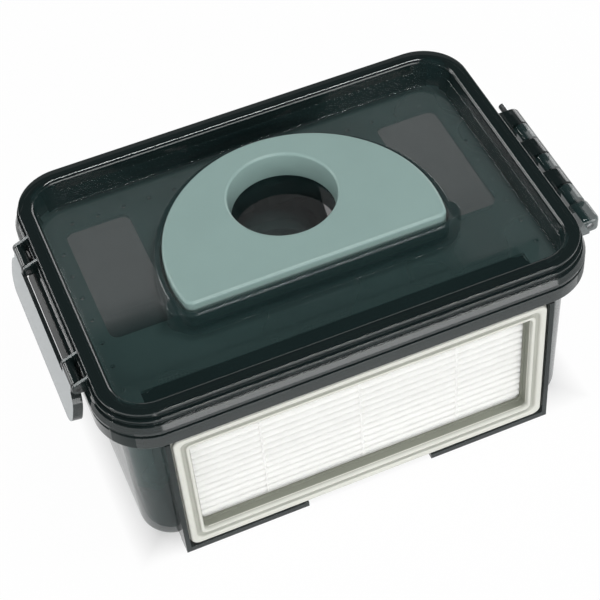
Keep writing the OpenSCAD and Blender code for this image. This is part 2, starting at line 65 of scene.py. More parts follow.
# Each lamp's name, place and size in metres, power in watts and the X it looks at
LAMPS = (
    ("top_lamp", (0.35, -0.30, 1.60), (0.70, 0.20), 10.0, 0.35),
    ("front_lamp", (0.33, -1.54, 0.40), (1.0, 1.0), 10.3, 0.0),
    ("left_lamp", (-1.45, -0.15, 0.60), (0.2, 0.2), 3.5, 0.0),
    ("back_lamp", (-1.30, 1.05, 0.42), (0.4, 0.4), 2.0, 0.0),
    ("ear_lamp", (-0.83, 0.97, 0.95), (0.45, 0.45), 3.2, 0.0),
    ("hinge_lamp", (1.25, 1.00, 0.45), (0.8, 0.8), 5.0, 0.0),
    ("spark_lamp", (-0.31, -1.35, 0.86), (0.12, 0.12), 3.2, 0.0),
)
LAMP_AIM = 0.06

# The camera's lens in millimetres, its place in metres, its azimuth, height and roll
CAMERA_LENS = 101.29
CAMERA_PLACE = (-0.1846, -0.5556, 0.7392)
CAMERA_TURNS = (-18.32, 49.58, -5.62)


# Sizes and colours


def length(name, millimetres, description):
    """A length in the sidebar, given here in millimetres."""
    size = millimetres * MM
    return FloatProperty(
        name=name, description=description, default=size, unit="LENGTH", precision=4
    )


def colour(name, rgb, description):
    """A colour in the sidebar, in linear light."""
    limits = {"subtype": "COLOR", "size": 3, "min": 0.0, "max": 1.0}
    return FloatVectorProperty(
        name=name, description=description, default=rgb, **limits
    )


def share(name, value, description):
    """A number from 0 to 1 in the sidebar."""
    return FloatProperty(
        name=name, description=description, default=value, min=0.0, max=1.0
    )


class FilterBoxSizes(bpy.types.PropertyGroup):
    """Sizes of the box, the same as its solids have."""

    rim_w: length("Rim width", 260, "Width of the rim, from the latch to the hinge")
    rim_d: length("Rim depth", 180, "Depth of the rim, front to back")
    rim_r: length("Rim corner", 29, "Corner radius of the rim")
    tub_h: length("Tub height", 103.5, "Height of the flange's top face")
    flange_h: length("Flange height", 9.5, "Height of the flange's outer face")
    lid_z: length("Lid height", 104, "Height of the lid's lower edge")
    lid_top: length("Lid top", 117, "Height of the rim's flat top")
    panel_z: length("Panel height", 101, "Height of the recessed panel's top")
    panel_in: length("Panel inset", 14.5, "Distance from the rim's face to the panel")
    pad_x: length("Pad offset", 1, "Distance of the pad to the right of the middle")
    pad_y: length("Pad centre", -13.5, "Centre of the pad's round side")
    pad_r: length("Pad radius", 72.3, "Radius of the pad's round side")
    pad_cut: length("Pad front", 19, "Distance from that centre to the straight front")
    pad_corner: length("Pad corner", 5, "Radius of the pad's front corners")
    pad_h: length("Pad height", 16.6, "Height of the pad above the panel")
    port_y: length("Port place", 17, "Distance of the port behind the rim's middle")
    port_r: length("Port radius", 27.5, "Radius of the port")
    collar_h: length("Collar height", 12.5, "Height of the collar round the pad")
    pin_x: length("Hinge pin place", 138.5, "Distance of the hinge pin from the middle")
    pin_z: length("Hinge pin height", 101.2, "Height of the hinge pin")
    knuckle_r: length("Knuckle radius", 5.6, "Outer radius of the knuckles and hooks")
    knuckle_l: length("Knuckle length", 12.4, "Length of a knuckle with its gap")
    hinge_top: length("Hinge back end", 31.3, "Back end of the hinge")
    latch_y: length("Latch place", -2.5, "Middle of the latch, towards the back")
    latch_x: length("Latch pin place", -132.6, "Distance of the latch's pins")
    latch_z: length("Latch pin height", 110.5, "Height of the latch's pins")
    ear_pitch: length("Ear distance", 82.5, "Distance between the pairs of ears")
    ear_pair: length("Ear pair width", 19, "Outside width of a pair of ears")
    ear_t: length("Ear thickness", 2.2, "Thickness of an ear")
    bay_x: length("Cassette place", -1.2, "Middle of the cassette")
    cassette_w: length("Cassette width", 200, "Width of the cassette filter")
    cassette_z0: length("Cassette foot", 4, "Height of the cassette's lower edge")
    cassette_z1: length("Cassette top", 93.7, "Height of the cassette's upper edge")
    front_y: length("Seal front", -89.8, "Front of the cassette's face seal")
    media_y: length("Pleat front", -81.8, "Front of the pleats")
    media_back: length("Pleat back", -62.8, "Back of the pleats")
    pleats: IntProperty(
        name="Pleats", description="Number of pleats", default=17, min=4, max=40
    )
    glue_pitch: length("Glue distance", 53.5, "Distance between the lines of glue")


class FilterBoxColours(bpy.types.PropertyGroup):
    """Colours of the materials, and how much light the smoky plastics stop."""

    smoke: colour("Smoky plastic", (0.024, 0.050, 0.050), "Walls of the tub and lid")
    panel_stop: share("Panel opacity", 0.36, "Light one face of the lid's panel stops")
    rim: colour("Thick smoky plastic", (0.010, 0.018, 0.018), "Rims of the tub and lid")
    smoke_stop: share("Wall opacity", 0.36, "Light one face of a wall stops")
    floor_stop: share("Bottom opacity", 0.57, "Light the bottom or a far wall stops")
    lug_stop: share("Lug opacity", 0.66, "Light one face of the hinge and catch stops")
    rim_stop: share("Rim opacity", 0.88, "Light one face of a rim or rib stops")
    dark: colour("Dark plastic", (0.010, 0.018, 0.018), "Filter holder")
    dark_stop: share("Dark plastic opacity", 0.86, "Light one face of it stops")
    insert: colour("Insert plastic", (0.31, 0.51, 0.49), "Insert and deflector")
    insert_stop: share("Insert opacity", 0.46, "Light one face of it stops")
    pad: colour("Pad rubber", (0.315, 0.45, 0.425), "Soft inlet pad")
    black: colour("Black rubber", (0.008, 0.010, 0.011), "Gasket and ring seal")
    steel: colour("Steel", (0.55, 0.56, 0.57), "Pins")
    # The flap's pale colour is a painted reflection of the bright room on its broad face
    flap: colour("Flap plastic", (0.35, 0.385, 0.395), "Latch flap's pale face")
    flap_stop: share("Flap opacity", 0.90, "Light one face of it stops")
    white: colour("White plastic", (0.66, 0.66, 0.60), "Cassette frame")
    seal: colour("White rubber", (0.68, 0.685, 0.63), "Cassette face seal")
    # Painted shade for the face seal's grooves and the slope down to the pleats, not a
    # colour of the rubber
    groove_shade: colour("Beige rubber", (0.21, 0.22, 0.18), "Grooves of the face seal")
    paper: colour("Paper", (0.93, 0.93, 0.91), "Pleated paper")
    glue: colour("Glue", (0.92, 0.92, 0.90), "Lines of glue")
    foam: colour("Foam", (0.10, 0.105, 0.105), "Foam strip behind the cassette")
    screen: colour("Screen", (0.62, 0.68, 0.67), "Window screens")
    floor: colour("Floor", (0.95, 0.95, 0.95), "Floor")


# Shader maths


class Value:
    """A material's value that plain arithmetic works on."""

    def __init__(self, tree, socket):
        self.tree = tree
        self.socket = socket

    def maths(self, operation, first, second=None):
        """The result of one Math node."""
        node = self.tree.nodes.new("ShaderNodeMath")
        node.operation = operation
        for slot, value in zip(node.inputs, (first, second)):
            if isinstance(value, Value):
                self.tree.links.new(value.socket, slot)
            elif value is not None:
                slot.default_value = value
        return Value(self.tree, node.outputs[0])

    def __add__(self, other):
        return self.maths("ADD", self, other)

    def __radd__(self, other):
        return self.maths("ADD", other, self)

    def __sub__(self, other):
        return self.maths("SUBTRACT", self, other)

    def __rsub__(self, other):
        return self.maths("SUBTRACT", other, self)

    def __mul__(self, other):
        return self.maths("MULTIPLY", self, other)

    def __rmul__(self, other):
        return self.maths("MULTIPLY", other, self)

    def __truediv__(self, other):
        return self.maths("DIVIDE", self, other)

    def __rtruediv__(self, other):
        return self.maths("DIVIDE", other, self)

    def __pow__(self, other):
        return self.maths("POWER", self, other)

    def __abs__(self):
        return self.maths("ABSOLUTE", self)

    def larger(self, other):
        """The larger of two values."""
        return self.maths("MAXIMUM", self, other)

    def clamped(self):
        """The value held between 0 and 1."""
        node = self.tree.nodes.new("ShaderNodeClamp")
        self.tree.links.new(self.socket, node.inputs[0])
        return Value(self.tree, node.outputs[0])


class Finish:
    """A material with the nodes that make it."""

    def __init__(self, name):
        self.material = bpy.data.materials.new(name + "_finish")
        self.material.use_nodes = True
        self.tree = self.material.node_tree
        self.tree.nodes.clear()

    def add(self, kind, settings=None, inputs=None, output=0):
        """Adds a node, sets its settings and then its inputs, and returns an output."""
        node = self.tree.nodes.new(kind)
        for name, value in (settings or {}).items():
            setattr(node, name, value)
        for name, value in (inputs or {}).items():
            if isinstance(value, Value):
                self.tree.links.new(value.socket, node.inputs[name])
            else:
                node.inputs[name].default_value = value
        return None if output is None else Value(self.tree, node.outputs[output])

    def place(self):
        """The place on the object, in metres."""
        return self.add("ShaderNodeTexCoord", output="Object")

    def axis(self, which):
        """One coordinate of the place on the object, in metres."""
        return self.add("ShaderNodeSeparateXYZ", {}, {0: self.place()}, which)

    def noise(self, scale, detail=3.0, roughness=0.5, place=None):
        """A noise from 0 to 1 with so many waves a metre."""
        inputs = {"Scale": scale, "Detail": detail, "Roughness": roughness}
        inputs["Vector"] = place or self.place()
        return self.add("ShaderNodeTexNoise", {}, inputs)

    def tint(self, rgb, factor, depth):
        """The colour made darker and lighter by a factor round its middle."""
        low = tuple(c * (1 - depth) for c in rgb) + (1.0,)
        high = tuple(min(1.0, c * (1 + depth)) for c in rgb) + (1.0,)
        return self.mix(factor, low, high)

    def mix(self, factor, low, high):
        """One colour turning into another."""
        inputs = {0: factor, 6: low, 7: high}
        return self.add("ShaderNodeMix", {"data_type": "RGBA"}, inputs, 2)

    def bump(self, height, strength, distance):
        """A normal that follows a height."""
        inputs = {"Height": height, "Strength": strength, "Distance": distance}
        return self.add("ShaderNodeBump", {}, inputs)

    def surface(self, inputs):
        """Ends the material in one plastic, rubber, metal or paper surface."""
        return self.ended(self.add("ShaderNodeBsdfPrincipled", {}, inputs))

    def ended(self, shader):
        """The material, with this shader on its surface."""
        self.add("ShaderNodeOutputMaterial", {}, {"Surface": shader}, None)
        return self.material


def smoky(name, rgb, stop, roughness, specular, wave=0.06):
    """Polished clear plastic: darker at a slant, with faint flow marks and smears."""
    finish = Finish(name)
    flow = finish.noise(14.0, 2.0)
    smear = finish.noise(24.0, 1.0, 0.4)
    slant = finish.add("ShaderNodeLayerWeight", {}, {"Blend": 0.35}, 1)
    alpha = (stop + slant**3.0 * (0.55 * (1 - stop)) + (flow - 0.5) * 0.05).clamped()
    bump = finish.bump(flow, wave, 0.002)
    return finish.surface({
        "Base Color": finish.tint(rgb, flow, 0.18),
        "Roughness": (roughness + (smear - 0.5) * 0.04).clamped(),
        "IOR": 1.5,
        "Specular IOR Level": specular,
        "Alpha": alpha,
        "Normal": bump,
    })


def rubber(name, rgb, roughness, grain, depth=0.08, gloss=0.3):
    """Soft matt rubber with a fine skin."""
    finish = Finish(name)
    skin = finish.noise(grain, 4.0, 0.6)
    cloud = finish.noise(38.0, 3.0)
    return finish.surface({
        "Base Color": finish.tint(rgb, cloud, depth),
        "Roughness": (roughness + (skin - 0.5) * 0.12).clamped(),
        "Specular IOR Level": gloss,
        "Normal": finish.bump(skin, 0.22, 0.0004),
    })


def seal_rubber_with_painted_shade(name, rgb, groove_shade, front):
    """Soft pale rubber with a painted shade, a dark yellowish grey, down in its grooves,
    where little light gets.
    """
    finish = Finish(name)
    skin = finish.noise(1200.0, 3.0, 0.6)
    cloud = finish.noise(38.0, 3.0)
    # Painted shade: fully shaded from this depth back, turning to the seal's own pale
    # colour towards the crests
    full_shade_y, fade = front + 3.2 * MM, 2.6 * MM
    crest = ((full_shade_y - finish.axis(1)) / fade).clamped()
    ivory = finish.tint(rgb, cloud, 0.04)
    painted_groove_shade = finish.tint(groove_shade, cloud, 0.08)
    return finish.surface({
        "Base Color": finish.mix(crest, painted_groove_shade, ivory),
        "Roughness": (0.48 + (skin - 0.5) * 0.12).clamped(),
        "Specular IOR Level": 0.3,
        "Normal": finish.bump(skin, 0.15, 0.0003),
    })


def moulded(name, rgb, roughness, specular=0.4):
    """Plain moulded plastic with a faintly uneven satin face."""
    finish = Finish(name)
    cloud = finish.noise(30.0, 3.0)
    grain = finish.noise(2600.0, 2.0)
    return finish.surface({
        "Base Color": finish.tint(rgb, cloud, 0.05),
        "Roughness": (roughness + (cloud - 0.5) * 0.15).clamped(),
        "Specular IOR Level": specular,
        "Normal": finish.bump(grain + cloud * 0.6, 0.12, 0.0003),
    })


def paper(name, rgb):
    """Fibrous filter paper."""
    finish = Finish(name)
    inputs = {"Scale": 900.0, "Detail": 5.0, "Distortion": 1.2}
    inputs["Vector"] = finish.place()
    fibres = finish.add("ShaderNodeTexNoise", {}, inputs)
    mottle = finish.noise(120.0, 3.0)
    return finish.surface({
        "Base Color": finish.tint(rgb, mottle * 0.6 + fibres * 0.4, 0.05),
        "Roughness": 0.92,
        "Specular IOR Level": 0.15,
        "Normal": finish.bump(fibres, 0.35, 0.0004),
    })


def steel(name, rgb):
    """Drawn steel with fine lines along the pin."""
    finish = Finish(name)
    inputs = {"Vector": finish.place(), "Scale": (1.0, 0.02, 1.0)}
    stretched = finish.add("ShaderNodeMapping", {}, inputs)
    lines = finish.noise(3000.0, 3.0, 0.5, stretched)
    return finish.surface({
        "Base Color": finish.tint(rgb, lines, 0.12),
        "Metallic": 1.0,
        "Roughness": (0.24 + lines * 0.14).clamped(),
        "Normal": finish.bump(lines, 0.15, 0.0002),
    })


def woven(name, rgb):
    """Fine woven screen: crossed threads with clear holes between them."""
    finish = Finish(name)
    inputs = {"Vector": finish.place(), "Scale": 160.0, "Distortion": 0.0}
    waves = [
        finish.add("ShaderNodeTexWave", {"bands_direction": direction}, inputs, 1)
        for direction in ("X", "Z")
    ]
    threads = (waves[0] ** 2.0 + waves[1] ** 2.0).clamped()
    return finish.surface({
        "Base Color": finish.tint(rgb, threads, 0.3),
        "Roughness": 0.6,
        "Alpha": (0.55 + threads * 0.40).clamped(),
        "Normal": finish.bump(threads, 0.5, 0.0003),
    })


def foam(name, rgb):
    """Open foam with small cells."""
    finish = Finish(name)
    inputs = {"Vector": finish.place(), "Scale": 900.0}
    cells = finish.add("ShaderNodeTexVoronoi", {}, inputs)
    return finish.surface({
        "Base Color": finish.tint(rgb, cells, 0.4),
        "Roughness": 0.95,
        "Normal": finish.bump(cells, 0.8, 0.0006),
    })


def make_materials(c, s):
    """Every material of the box, under the slot that its pieces name.

    A smoky plastic's numbers are the light it stops, its roughness, its shine and the
    depth of its waves; those of a rubber are its roughness, grain, mottle and shine."""
    recipes = {
        "smoky_clear": (smoky, c.smoke, c.smoke_stop, 0.04, 0.5),
        "smoky_panel": (smoky, c.smoke, c.panel_stop, 0.04, 0.5),
        "smoky_floor": (smoky, c.smoke, c.floor_stop, 0.06, 0.5),
        "smoky_lug": (smoky, c.smoke, c.lug_stop, 0.05, 0.8, 0.004),
        "smoky_rim": (smoky, c.rim, c.rim_stop, 0.09, 0.62, 0.004),
        "smoky_inside": (smoky, c.rim, c.rim_stop, 0.40, 0.2, 0.004),
        "smoky_dark": (smoky, c.dark, c.dark_stop, 0.12, 0.35),
        "smoky_insert": (smoky, c.insert, c.insert_stop, 0.18, 0.30),
        "screen_mesh": (woven, c.screen),
        "black_rubber": (rubber, c.black, 0.55, 900.0, 0.08, 0.12),
        "pad_rubber": (rubber, c.pad, 0.32, 1400.0, 0.05, 0.5),
        "pin_steel": (steel, c.steel),
        # The flap's broad face carries a painted reflection
        "clear_flap": (smoky, c.flap, c.flap_stop, 0.10, 0.5),
        "frame_white": (moulded, c.white, 0.42),
        # The seal's finish paints shade into its grooves and onto the frame's slope down
        # to the pleats
        "seal_white": (seal_rubber_with_painted_shade, c.seal, c.groove_shade, s.front_y),
        "pleated_paper": (paper, c.paper),
        "glue_white": (moulded, c.glue, 0.3, 0.5),
        "grey_foam": (foam, c.foam),
    }
    return {slot: make(slot, *values) for slot, (make, *values) in recipes.items()}


# Outlines, sections and meshes


def mm(size):
    """A size in millimetres, clean of the error that its setting stores it with."""
    return round(size / MM, 4)


def arc(x, y, radius, start, end, steps):
    """Places on an arc, each with the way outward there; the angles are in degrees."""
    turns = [math.radians(start + (end - start) * k / steps) for k in range(steps + 1)]
    return [
        (x + radius * math.cos(a), y + radius * math.sin(a), math.cos(a), math.sin(a))
        for a in turns
    ]


def rounded_path(width, depth, radius, steps=14):
    """A rounded rectangle about the origin."""
    x, y = width / 2 - radius, depth / 2 - radius
    corners = ((x, y, 0), (-x, y, 90), (-x, -y, 180), (x, -y, 270))
    return [p for cx, cy, a in corners for p in arc(cx, cy, radius, a, a + 90, steps)]


def circle_path(x, y, radius, steps=72):
    """A circle."""
    return arc(x, y, radius, 0, 360, steps)[:-1]


def places(path):
    """The places of a path without their ways outward."""
    return [(x, y) for x, y, _, _ in path]


def pad_path(s, steps=64):
    """The half-moon outline of the inlet pad."""
    x = math.sqrt((s.pad_r - s.pad_corner) ** 2 - (s.pad_cut - s.pad_corner) ** 2)
    y = s.pad_y - s.pad_cut + s.pad_corner
    low = -math.degrees(math.atan2(s.pad_cut - s.pad_corner, x))
    path = arc(s.pad_x, s.pad_y, s.pad_r, low, 180 - low, steps)
    path += arc(s.pad_x - x, y, s.pad_corner, 180 - low, 270, 8)
    front = [
        (s.pad_x + x * k / 12, y - s.pad_corner, 0.0, -1.0) for k in range(-11, 12)
    ]
    return path + front + arc(s.pad_x + x, y, s.pad_corner, 270, 360 + low, 8)


def fillet(points, closed=True, steps=5):
    """Rounds an outline's corners and turns it from millimetres into metres.

    Each point is its two coordinates and the radius of its corner."""
    made = []
    count = len(points)
    for k, (x, y, radius) in enumerate(points):
        here = Vector((x, y))
        if radius <= 0 or (not closed and k in (0, count - 1)):
            made.append(here * MM)
            continue
        back = Vector(points[k - 1][:2]) - here
        ahead = Vector(points[(k + 1) % count][:2]) - here
        half = back.angle(ahead) / 2
        reach = min(radius / math.tan(half), back.length * 0.49, ahead.length * 0.49)
        real = reach * math.tan(half)
        middle = here + (back.normalized() + ahead.normalized()).normalized() * (
            real / math.sin(half)
        )
        start = here + back.normalized() * reach - middle
        turn = start.angle_signed(here + ahead.normalized() * reach - middle)
        for j in range(steps + 1):
            made.append((middle + Matrix.Rotation(-turn * j / steps, 2) @ start) * MM)
    return [tuple(p) for p in made]


def in_plan(x, y, h):
    """Keeps a place in plan, with its height upward."""
    return (x, y, h)


def reshaped(mesh, change):
    """The mesh after a change to its shape."""
    shape = bmesh.new()
    shape.from_mesh(mesh)
    change(shape)
    shape.to_mesh(mesh)
    shape.free()
    return mesh


def mesh_from(name, verts, faces):
    """A mesh of these places and faces, with the faces turned outward."""

    def close(shape):
        """Joins the places that coincide, and turns the faces."""
        bmesh.ops.remove_doubles(shape, verts=shape.verts, dist=MM / 1000)
        bmesh.ops.recalc_face_normals(shape, faces=shape.faces)

    mesh = bpy.data.meshes.new(name)
    mesh.from_pydata(verts, [], faces)
    return reshaped(mesh, close)


def loft_faces(rows, columns, across=True, around=True, first=0):
    """Faces over columns of points, closed across a column and around them or not."""
    faces = []
    for c in range(columns if around else columns - 1):
        here, there = first + c * rows, first + (c + 1) % columns * rows
        for r in range(rows if across else rows - 1):
            up = (r + 1) % rows
            faces.append((here + r, here + up, there + up, there + r))
    return faces


def sweep(name, section, path, closed=True):
    """Carries a section of insets and heights round a closed path.

    An open section gets a flat face across each of its ends."""
    rows, columns = len(section), len(path)
    verts = [
        (px - inset * nx, py - inset * ny, height)
        for px, py, nx, ny in path
        for inset, height in section
    ]
    faces = loft_faces(rows, columns, across=closed)
    if not closed:
        faces.append(tuple(c * rows for c in range(columns)))
        faces.append(tuple(c * rows + rows - 1 for c in range(columns)))
    return mesh_from(name, verts, faces)


def softened(name, section, width, depth, radius, place):
    """Carries a section round a rectangle whose corners stay round further in."""
    paths = [
        rounded_path(width - 2 * inset, depth - 2 * inset, radius - 0.2 * inset, 9)
        for inset, _ in section
    ]
    rows, columns = len(section), len(paths[0])
    verts = [
        place(*path[c][:2], height)
        for c in range(columns)
        for path, (_, height) in zip(paths, section)
    ]
    return mesh_from(name, verts, loft_faces(rows, columns))


def prism(name, outline, low, high, place=in_plan):
    """Stretches a closed outline from one level to another."""
    count = len(outline)
    verts = [place(x, y, h) for h in (low, high) for x, y in outline]
    faces = [tuple(range(count)), tuple(range(count, 2 * count))]
    for k in range(count):
        after = (k + 1) % count
        faces.append((k, after, after + count, k + count))
    return mesh_from(name, verts, faces)


def block(name, low, high):
    """A box between two corners."""
    (x0, y0, z0), (x1, y1, z1) = low, high
    return prism(name, [(x0, y0), (x1, y0), (x1, y1), (x0, y1)], z0, z1)


def along_y(x, z, h):
    """Lays a side view down, with its height towards the back."""
    return (x, h, z)


def rod(name, x, z, radius, y0, y1, steps=48):
    """A rod along Y."""
    return prism(name, places(circle_path(x, z, radius, steps)), y0, y1, along_y)


def copy_of(node):
    """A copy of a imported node's mesh, with its flat faces whole."""
    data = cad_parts[node].data
    verts = [v.co[:] for v in data.vertices]
    faces = [p.vertices[:] for p in data.polygons]
    limits = {"angle_limit": math.radians(0.3), "delimit": {"NORMAL"}}

    def join_flat(shape):
        """Joins the faces that lie in one plane."""
        bmesh.ops.dissolve_limit(shape, verts=shape.verts, edges=shape.edges, **limits)

    return reshaped(mesh_from(node, verts, faces), join_flat)


def bevelled(mesh, width, steps=2, angle=32):
    """The mesh with its sharp edges rounded."""
    limits = {"profile": 0.5, "affect": "EDGES", "clamp_overlap": True}

    def round_off(shape):
        """Bevels the edges whose faces meet at more than the angle."""
        sharp = [
            e
            for e in shape.edges
            if len(e.link_faces) == 2 and e.calc_face_angle() > math.radians(angle)
        ]
        bmesh.ops.bevel(shape, geom=sharp, offset=width, segments=steps, **limits)

    return reshaped(mesh, round_off)


def linked(name, data):
    """A new object of the scene."""
    made = bpy.data.objects.new(name, data)
    bpy.context.scene.collection.objects.link(made)
    return made


def lug(name, outline, low, high, edge):
    """A part of the hinge or latch, from its side view in millimetres."""
    outline = [(x * MM, z * MM) for x, z in outline]
    return bevelled(prism(name, outline, low, high, along_y), edge, angle=60)


def combined(mesh, others, operation):
    """The mesh with the others joined to it, cut out of it or kept in common."""
    base = linked("base", mesh)
    tools = [linked("tool", other) for other in others]
    for tool in tools:
        change = base.modifiers.new("change", "BOOLEAN")
        change.operation = operation
        change.solver = "EXACT"
        change.object = tool
    ready = base.evaluated_get(bpy.context.evaluated_depsgraph_get())
    result = bpy.data.meshes.new_from_object(ready)
    for made in (base, *tools):
        bpy.data.objects.remove(made)
    return result


def piece(name, mesh, body, slot, nodes, sharp=30, choose=None):
    """Puts a finished mesh in the scene, on its body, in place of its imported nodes.

    A face takes the slot's finish, or the finish that choose names for it."""
    mesh.name = name
    mesh.shade_smooth()
    mesh.set_sharp_from_angle(angle=math.radians(sharp))
    mesh.materials.clear()
    chosen = [choose(face) if choose else slot for face in mesh.polygons]
    finishes = list(dict.fromkeys([slot, *chosen]))
    for finish in finishes:
        mesh.materials.append(FINISHES[finish])
    for face, finish in zip(mesh.polygons, chosen):
        face.material_index = finishes.index(finish)
    made = linked(name, mesh)
    weighted = made.modifiers.new("weighted normals", "WEIGHTED_NORMAL")
    weighted.keep_sharp = True
    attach(made, body)
    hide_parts(*nodes)


def dress(node, slot):
    """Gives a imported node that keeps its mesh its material."""
    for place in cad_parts[node].material_slots:
        place.material = FINISHES[slot]


# Operators, one for each piece or group of like pieces


class FILTERBOX_OT_materials(bpy.types.Operator):
    """Makes every material of the filter box"""

    bl_idname = "filterbox.materials"
    bl_label = "Materials"

    def execute(self, context):
        scene = context.scene
        made = make_materials(scene.filter_box_colours, scene.filter_box_sizes)
        FINISHES.update(made)
        return {"FINISHED"}


def inset_of(s, x, y):
    """How far a place lies inside the rim's outer face."""
    return min(s.rim_w / 2 - abs(x), s.rim_d / 2 - abs(y))


def knuckle_span(s, k):
    """Where knuckle or hook k starts and ends, counted from the back."""
    side = 0.45 * MM
    high = s.hinge_top - k * s.knuckle_l - side
    return s.hinge_top - (k + 1) * s.knuckle_l + side, high


class FILTERBOX_OT_tub(bpy.types.Operator):
    """Builds the smoky tub with its flange, lip, catch and hinge knuckles"""

    bl_idname = "filterbox.tub"
    bl_label = "Tub"

    def execute(self, context):
        s = context.scene.filter_box_sizes
        top = mm(s.tub_h)
        foot = top - mm(s.flange_h)
        floor = 2.2
        section = fillet([
            (23, 0, 0), (11.18, 0, 10), (9.55, foot - 2.5, 0.8),
            (5, foot - 2.5, 0.6), (5, top - 2.2, 0.4), (2.2, top - 2.2, 0.6),
            (2.2, foot, 0.7), (0, foot, 0.7), (0, top - 1.1, 0.3), (1.5, top, 0.3),
            (5, top, 0.3), (5, top + 5.8, 0.8), (7.4, top + 5.8, 0.8),
            (7.4, foot, 0.4), (12, foot, 0.6), (13.64, floor, 7.5), (23, floor, 0),
        ], closed=False)
        path = rounded_path(s.rim_w, s.rim_d, s.rim_r)
        tub = sweep("tub", section, path, closed=False)
        half, front, back = 103.3 * MM, -91 * MM, -66.5 * MM
        corner = (s.bay_x - half, front, floor * MM)
        bay = block("bay", corner, (s.bay_x + half, back, foot * MM))
        tub = combined(tub, [bay], "DIFFERENCE")
        parts = [self.catch(s)] + [self.knuckle(s, k) for k in (1, 3, 5)]
        tub = combined(tub, parts + self.end_block(s), "UNION")
        bore = rod("bore", s.pin_x, s.pin_z, TUB_BORE, *BORE_ENDS)
        tub = combined(tub, [bore], "DIFFERENCE")
        rim_x, rim_z, lip = s.rim_w / 2 + 0.4 * MM, (foot - 1.5) * MM, 4.5 * MM
        back_wall, right_wall, bottom = 70 * MM, 112 * MM, 3 * MM

        def finish(face):
            """Thick at the rim, thinner at the lugs, thinnest at the walls."""
            x, y, z = face.center
            if abs(x) > rim_x:
                return "smoky_lug"
            if z > rim_z:
                return "smoky_inside" if inset_of(s, x, y) > lip else "smoky_rim"
            far = y > back_wall or x > right_wall
            return "smoky_floor" if z < bottom or far else "smoky_clear"

        piece("tub_shell", tub, "box", "smoky_clear", ["tub"], choose=finish)
        return {"FINISHED"}

    def catch(self, s):
        """The ledge that the latch's hook snaps under."""
        top = mm(s.tub_h)
        outline = fillet([
            (-TUB_ROOT, top - 5, 0), (-133, top - 5, 0.5), (-133, top - 2.3, 1.2),
            (-130.4, top, 0.8), (-TUB_ROOT, top, 0),
        ])
        front, back = -31.5 * MM, 35 * MM
        made = prism("catch", outline, front, back, along_y)
        return bevelled(made, 0.4 * MM, angle=60)

    def knuckle(self, s, k):
        """One eye of the hinge on the tub's flange."""
        x, z, r = s.pin_x / MM, s.pin_z / MM, s.knuckle_r / MM
        top = mm(s.tub_h) - 0.5
        slope = math.degrees(math.asin((top - z) / r))
        outline = [(TUB_ROOT, z - r)] + places(arc(x, z, r, -90, 180 - slope, 28))
        outline.append((TUB_ROOT, top))
        return lug("knuckle", outline, *knuckle_span(s, k), 0.5 * MM)

    def end_block(self, s):
        """The square block at the front end of the hinge."""
        low = s.hinge_top - 7.25 * s.knuckle_l
        high = s.hinge_top - 6 * s.knuckle_l
        x, z, r = s.pin_x, s.pin_z, s.knuckle_r
        head = block("head", (x - r, low, z - r), (x + r, high, z + r - 1 * MM))
        corner = (TUB_ROOT * MM, low, z - r)
        web = block("web", corner, (x, high, (mm(s.tub_h) - 0.5) * MM))
        return [bevelled(head, 2.8 * MM, 5), bevelled(web, 0.4 * MM)]


